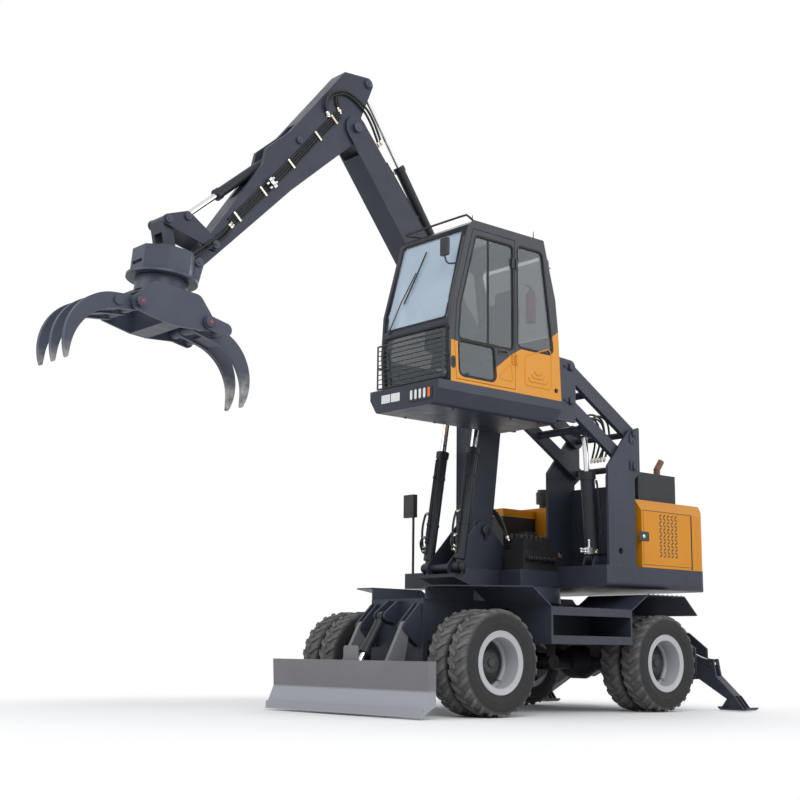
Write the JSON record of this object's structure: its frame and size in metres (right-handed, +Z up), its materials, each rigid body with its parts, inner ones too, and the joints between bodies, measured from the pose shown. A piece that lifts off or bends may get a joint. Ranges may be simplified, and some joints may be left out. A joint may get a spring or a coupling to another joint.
{
  "type": "wheeled excavator with raised cab and log grapple",
  "caption": "Wheeled material-handling excavator with a raised cab on lift links, straight boom and arm, tined log grapple, front blade and rear stabilizers.",
  "frame": {"origin": "ground level under the middle of the bounding box", "axes": "+X forward to the blade and grapple, +Y to the left side with the cab, +Z up"},
  "size_m": [7.7215, 3.28, 6.6318],
  "materials": {
    "painted_steel": "satin",
    "painted_panels": "gloss",
    "dark_steel": "satin",
    "grapple_steel": "satin",
    "rim_silver": "satin",
    "tyre_rubber": "matte",
    "chromed_rods": "polished",
    "seat_cover": "matte",
    "exhaust_steel": "satin"
  },
  "bodies": {
    "chassis": {"chassis_frame": "painted_steel", "deck_left": "painted_steel", "deck_right": "painted_steel", "front_axle": "painted_steel", "rear_axle": "painted_steel"},
    "steer_left": {"knuckle_left": "painted_steel"},
    "steer_right": {"knuckle_right": "painted_steel"},
    "wheel_front_left": {"tyres_front_left": "tyre_rubber", "rims_front_left": "rim_silver"},
    "wheel_front_right": {"tyres_front_right": "tyre_rubber", "rims_front_right": "rim_silver"},
    "wheel_rear_left": {"tyres_rear_left": "tyre_rubber", "rims_rear_left": "rim_silver"},
    "wheel_rear_right": {"tyres_rear_right": "tyre_rubber", "rims_rear_right": "rim_silver"},
    "blade": {"blade": "painted_steel"},
    "blade_barrel": {"blade_barrel": "painted_steel"},
    "blade_rod": {"blade_rod": "chromed_rods"},
    "stabilizer_left": {"stabilizer_left": "painted_steel"},
    "stabilizer_barrel_left": {"stabilizer_barrel_left": "painted_steel"},
    "stabilizer_rod_left": {"stabilizer_rod_left": "chromed_rods"},
    "stabilizer_right": {"stabilizer_right": "painted_steel"},
    "stabilizer_barrel_right": {"stabilizer_barrel_right": "painted_steel"},
    "stabilizer_rod_right": {"stabilizer_rod_right": "chromed_rods"},
    "upper": {"platform": "painted_steel", "cab_riser": "painted_steel", "engine_hood": "painted_panels", "right_bay": "dark_steel", "engine": "dark_steel", "silencer": "exhaust_steel", "air_precleaner": "dark_steel", "right_mirror": "dark_steel"},
    "lift_link_lower": {"lift_link_lower": "painted_steel"},
    "lift_link_upper": {"lift_link_upper": "painted_steel"},
    "lift_barrel": {"lift_barrel": "painted_steel"},
    "lift_rod": {"lift_rod": "chromed_rods"},
    "cab": {"cab_shell": "painted_panels", "cab_base": "painted_panels", "cab_seat": "seat_cover", "window_guard": "dark_steel"},
    "cab_door": {"cab_door": "dark_steel"},
    "boom": {"boom": "painted_steel"},
    "boom_barrels": {"boom_barrels": "painted_steel"},
    "boom_rods": {"boom_rods": "chromed_rods"},
    "arm": {"arm": "painted_steel"},
    "arm_barrel": {"arm_barrel": "painted_steel"},
    "arm_rod": {"arm_rod": "chromed_rods"},
    "tilt_barrel": {"tilt_barrel": "painted_steel"},
    "tilt_rod": {"tilt_rod": "chromed_rods"},
    "tilt_rocker": {"tilt_rocker": "painted_steel"},
    "tilt_link": {"tilt_link": "painted_steel"},
    "grapple_bracket": {"grapple_bracket": "grapple_steel"},
    "grapple_body": {"grapple_body": "grapple_steel"},
    "jaw_front": {"jaw_front": "grapple_steel"},
    "jaw_rear": {"jaw_rear": "grapple_steel"}
  },
  "joints": [
    {"name": "steer_left", "type": "hinge", "parent": "chassis", "child": "steer_left", "pos_m": [-0.25979, 0.6, 0.51], "axis": [0, 0, 1], "range_deg": [-22, 22]},
    {"name": "steer_right", "type": "hinge", "parent": "chassis", "child": "steer_right", "pos_m": [-0.25979, -0.6, 0.51], "axis": [0, 0, 1], "range_deg": [-22.4, 22.4]},
    {"name": "wheel_front_left", "type": "hinge", "parent": "steer_left", "child": "wheel_front_left", "pos_m": [-0.25979, 0.99, 0.51], "axis": [0, 1, 0], "continuous": true},
    {"name": "wheel_front_right", "type": "hinge", "parent": "steer_right", "child": "wheel_front_right", "pos_m": [-0.25979, -0.99, 0.51], "axis": [0, 1, 0], "continuous": true},
    {"name": "wheel_rear_left", "type": "hinge", "parent": "chassis", "child": "wheel_rear_left", "pos_m": [-2.76379, 0.99, 0.51], "axis": [0, 1, 0], "continuous": true},
    {"name": "wheel_rear_right", "type": "hinge", "parent": "chassis", "child": "wheel_rear_right", "pos_m": [-2.76379, -0.99, 0.51], "axis": [0, 1, 0], "continuous": true},
    {"name": "blade", "type": "hinge", "parent": "chassis", "child": "blade", "pos_m": [0.16821, 0, 0.85], "axis": [0, 1, 0], "range_deg": [-25, 8]},
    {"name": "blade_barrel", "type": "hinge", "parent": "chassis", "child": "blade_barrel", "pos_m": [0.17821, 0, 0.953], "axis": [0, 1, 0], "range_deg": [-22.57, 7.22]},
    {"name": "blade_rod", "type": "slide", "parent": "blade_barrel", "child": "blade_rod", "axis": [0.5378, 0, -0.8431], "range_m": [-0.03299, 0.01056]},
    {"name": "stabilizer_left", "type": "hinge", "parent": "chassis", "child": "stabilizer_left", "pos_m": [-3.72679, 0.88, 0.48], "axis": [1, 0, 0], "range_deg": [-3, 75]},
    {"name": "stabilizer_barrel_left", "type": "hinge", "parent": "chassis", "child": "stabilizer_barrel_left", "pos_m": [-3.72679, 0.35, 0.8], "axis": [1, 0, 0], "range_deg": [-0.65, 16.18]},
    {"name": "stabilizer_rod_left", "type": "slide", "parent": "stabilizer_barrel_left", "child": "stabilizer_rod_left", "axis": [0, 0.9353, -0.3538], "range_m": [-0.24158, 0.00966]},
    {"name": "stabilizer_right", "type": "hinge", "parent": "chassis", "child": "stabilizer_right", "pos_m": [-3.72679, -0.88, 0.48], "axis": [-1, 0, 0], "range_deg": [-3, 75]},
    {"name": "stabilizer_barrel_right", "type": "hinge", "parent": "chassis", "child": "stabilizer_barrel_right", "pos_m": [-3.72679, -0.35, 0.8], "axis": [-1, 0, 0], "range_deg": [-0.65, 16.18]},
    {"name": "stabilizer_rod_right", "type": "slide", "parent": "stabilizer_barrel_right", "child": "stabilizer_rod_right", "axis": [0, -0.9353, -0.3538], "range_m": [-0.24158, 0.00966]},
    {"name": "slew", "type": "hinge", "parent": "chassis", "child": "upper", "pos_m": [-1.66179, 0, 1.3], "axis": [0, 0, 1], "continuous": true},
    {"name": "cab_lift", "type": "hinge", "parent": "upper", "child": "lift_link_lower", "pos_m": [-2.44279, 0.665, 2.609], "axis": [0, 1, 0], "range_deg": [-12, 36]},
    {"name": "lift_link_upper", "type": "hinge", "parent": "upper", "child": "lift_link_upper", "pos_m": [-2.44279, 0.665, 2.974], "axis": [0, 1, 0], "range_deg": [-12.24, 36.72]},
    {"name": "cab_level", "type": "hinge", "parent": "lift_link_lower", "child": "cab", "pos_m": [-1.43279, 0.665, 3.206], "axis": [0, 1, 0], "range_deg": [-36.72, 12.24]},
    {"name": "lift_barrel", "type": "hinge", "parent": "upper", "child": "lift_barrel", "pos_m": [-2.04179, 0.85, 1.6], "axis": [0, 1, 0], "range_deg": [-2.78, 8.35]},
    {"name": "lift_rod", "type": "slide", "parent": "lift_barrel", "child": "lift_rod", "axis": [0.0741, 0, 0.9972], "range_m": [-0.33771, 0.11257]},
    {"name": "cab_door", "type": "hinge", "parent": "cab", "child": "cab_door", "pos_m": [-0.52879, 1.204, 4], "axis": [0, 0, 1], "range_deg": [0, 100]},
    {"name": "boom", "type": "hinge", "parent": "upper", "child": "boom", "pos_m": [-1.24179, -0.15, 1.904], "axis": [0, 1, 0], "range_deg": [-5, 45]},
    {"name": "boom_barrels", "type": "hinge", "parent": "upper", "child": "boom_barrels", "pos_m": [-0.78379, -0.15, 1.488], "axis": [0, 1, 0], "range_deg": [-4.18, 37.6]},
    {"name": "boom_rods", "type": "slide", "parent": "boom_barrels", "child": "boom_rods", "axis": [-0.1648, 0, 0.9863], "range_m": [-0.38536, 0.04282]},
    {"name": "arm", "type": "hinge", "parent": "boom", "child": "arm", "pos_m": [0.61721, -0.15, 6.011], "axis": [0, -1, 0], "range_deg": [-30, 40]},
    {"name": "arm_barrel", "type": "hinge", "parent": "boom", "child": "arm_barrel", "pos_m": [-0.86179, -0.15, 4.712], "axis": [0, -1, 0], "range_deg": [-3.97, 5.3]},
    {"name": "arm_rod", "type": "slide", "parent": "arm_barrel", "child": "arm_rod", "axis": [0.5785, 0, 0.8157], "range_m": [-0.34109, 0.25581]},
    {"name": "grapple_tilt", "type": "hinge", "parent": "arm", "child": "grapple_bracket", "pos_m": [2.49121, -0.15, 4.164], "axis": [0, 1, 0], "range_deg": [-30, 50]},
    {"name": "tilt_rocker", "type": "hinge", "parent": "arm", "child": "tilt_rocker", "pos_m": [2.30721, -0.15, 4.375], "axis": [0, 1, 0], "range_deg": [-15.97, 26.62]},
    {"name": "tilt_link", "type": "hinge", "parent": "tilt_rocker", "child": "tilt_link", "pos_m": [2.82621, -0.15, 4.515], "axis": [0, 1, 0], "range_deg": [-17.9, 10.74]},
    {"name": "tilt_barrel", "type": "hinge", "parent": "arm", "child": "tilt_barrel", "pos_m": [1.33821, -0.15, 5.69], "axis": [0, 1, 0], "range_deg": [-1.27, 2.13]},
    {"name": "tilt_rod", "type": "slide", "parent": "tilt_barrel", "child": "tilt_rod", "axis": [0.758, 0, -0.6522], "range_m": [-0.09684, 0.16139]},
    {"name": "grapple_rotator", "type": "hinge", "parent": "grapple_bracket", "child": "grapple_body", "pos_m": [2.78521, -0.15, 3.954], "axis": [-0.0976, 0, 0.9952], "continuous": true},
    {"name": "jaw_front", "type": "hinge", "parent": "grapple_body", "child": "jaw_front", "pos_m": [3.17971, -0.15, 3.62995], "axis": [0, 1, 0], "range_deg": [-8, 66]},
    {"name": "jaw_rear", "type": "hinge", "parent": "grapple_body", "child": "jaw_rear", "pos_m": [2.46116, -0.15, 3.5595], "axis": [0, 1, 0], "range_deg": [-67.32, 8.16]}
  ],
  "couplings": [
    {"joint": "steer_right", "follows": "steer_left", "ratio": 1},
    {"joint": "blade_barrel", "follows": "blade", "ratio": 0.88505},
    {"joint": "blade_rod", "follows": "blade", "m_per_rad": 0.07413},
    {"joint": "stabilizer_barrel_left", "follows": "stabilizer_left", "ratio": 0.21144},
    {"joint": "stabilizer_rod_left", "follows": "stabilizer_left", "m_per_rad": -0.18094},
    {"joint": "stabilizer_barrel_right", "follows": "stabilizer_right", "ratio": 0.21144},
    {"joint": "stabilizer_rod_right", "follows": "stabilizer_right", "m_per_rad": -0.18094},
    {"joint": "lift_link_upper", "follows": "cab_lift", "ratio": 1},
    {"joint": "cab_level", "follows": "cab_lift", "ratio": -1},
    {"joint": "lift_barrel", "follows": "cab_lift", "ratio": 0.22727},
    {"joint": "lift_rod", "follows": "cab_lift", "m_per_rad": -0.52694},
    {"joint": "boom_barrels", "follows": "boom", "ratio": 0.81924},
    {"joint": "boom_rods", "follows": "boom", "m_per_rad": -0.48103},
    {"joint": "arm_barrel", "follows": "arm", "ratio": 0.12988},
    {"joint": "arm_rod", "follows": "arm", "m_per_rad": -0.47899},
    {"joint": "tilt_rocker", "follows": "grapple_tilt", "ratio": 0.522},
    {"joint": "tilt_link", "follows": "grapple_tilt", "ratio": -0.35106},
    {"joint": "tilt_barrel", "follows": "grapple_tilt", "ratio": 0.04168},
    {"joint": "tilt_rod", "follows": "grapple_tilt", "m_per_rad": 0.18132},
    {"joint": "jaw_rear", "follows": "jaw_front", "ratio": -1}
  ]
}
